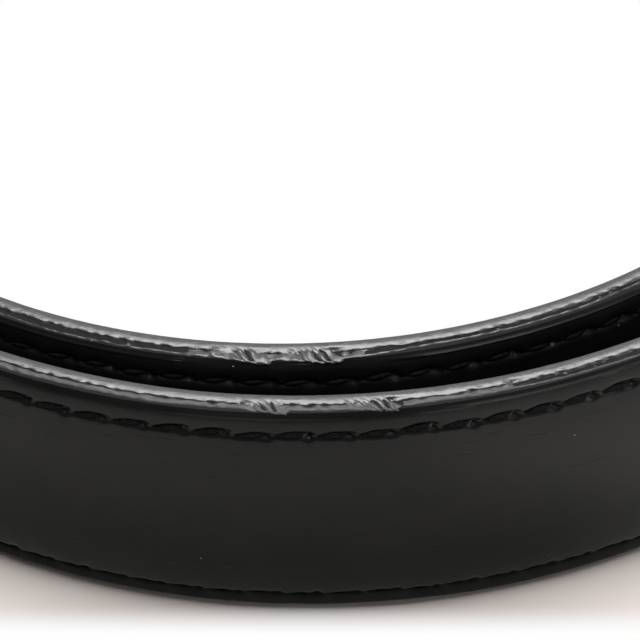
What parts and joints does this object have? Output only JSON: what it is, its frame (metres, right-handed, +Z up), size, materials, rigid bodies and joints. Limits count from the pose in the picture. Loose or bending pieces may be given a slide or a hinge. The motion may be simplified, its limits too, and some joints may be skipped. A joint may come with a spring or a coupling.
{
  "type": "leather belt",
  "caption": "Padded black leather dress belt with edge stitching, coiled and standing on its edge, with a pronged frame buckle, a fixed keeper and a sliding keeper",
  "frame": {"origin": "Centre of the belt's bounding box, on the surface that the coil stands on", "axes": "+Z up, across the strap's width; -Y to the front of the coil; +X to the side where the buckle end runs straight"},
  "size_m": [0.1788, 0.1938, 0.036],
  "materials": {
    "face_leather": "smooth satin black",
    "filler_core": "bonded leather fibre, hidden",
    "lining_leather": "matt black",
    "edge_paint": "glossy black edge paint",
    "thread": "waxed black polyester thread",
    "keeper_leather": "smooth satin black",
    "staple_wire": "bright wire",
    "snap_metal": "dark nickel plate",
    "buckle_metal": "polished nickel plate"
  },
  "bodies": {
    "strap": {"face_leather": "face_leather", "filler_core": "filler_core", "lining_leather": "lining_leather", "upper_edge_paint": "edge_paint", "lower_edge_paint": "edge_paint", "upper_needle_thread": "thread", "upper_bobbin_thread": "thread", "lower_needle_thread": "thread", "lower_bobbin_thread": "thread", "fixed_keeper": "keeper_leather", "fixed_keeper_staples": "staple_wire", "snap_posts": "snap_metal", "snap_studs": "snap_metal", "snap_sockets": "snap_metal", "snap_caps": "snap_metal"},
    "buckle": {"buckle_frame": "buckle_metal", "buckle_pin": "buckle_metal"},
    "prong": {"prong": "buckle_metal"},
    "keeper": {"sliding_keeper": "keeper_leather", "sliding_keeper_staples": "staple_wire"}
  },
  "joints": [
    {"name": "buckle_hinge", "type": "hinge", "parent": "strap", "child": "buckle", "pos_m": [0.07842, -0.06177, 0.018], "axis": [0, 0, 1], "range_deg": [-60, 35]},
    {"name": "prong_hinge", "type": "hinge", "parent": "buckle", "child": "prong", "pos_m": [0.07842, -0.06177, 0.018], "axis": [0, 0, 1], "range_deg": [0, 85]},
    {"name": "keeper_slide", "type": "slide", "parent": "strap", "child": "keeper", "axis": [0, 1, 0], "range_m": [-0.009, 0.009]}
  ]
}
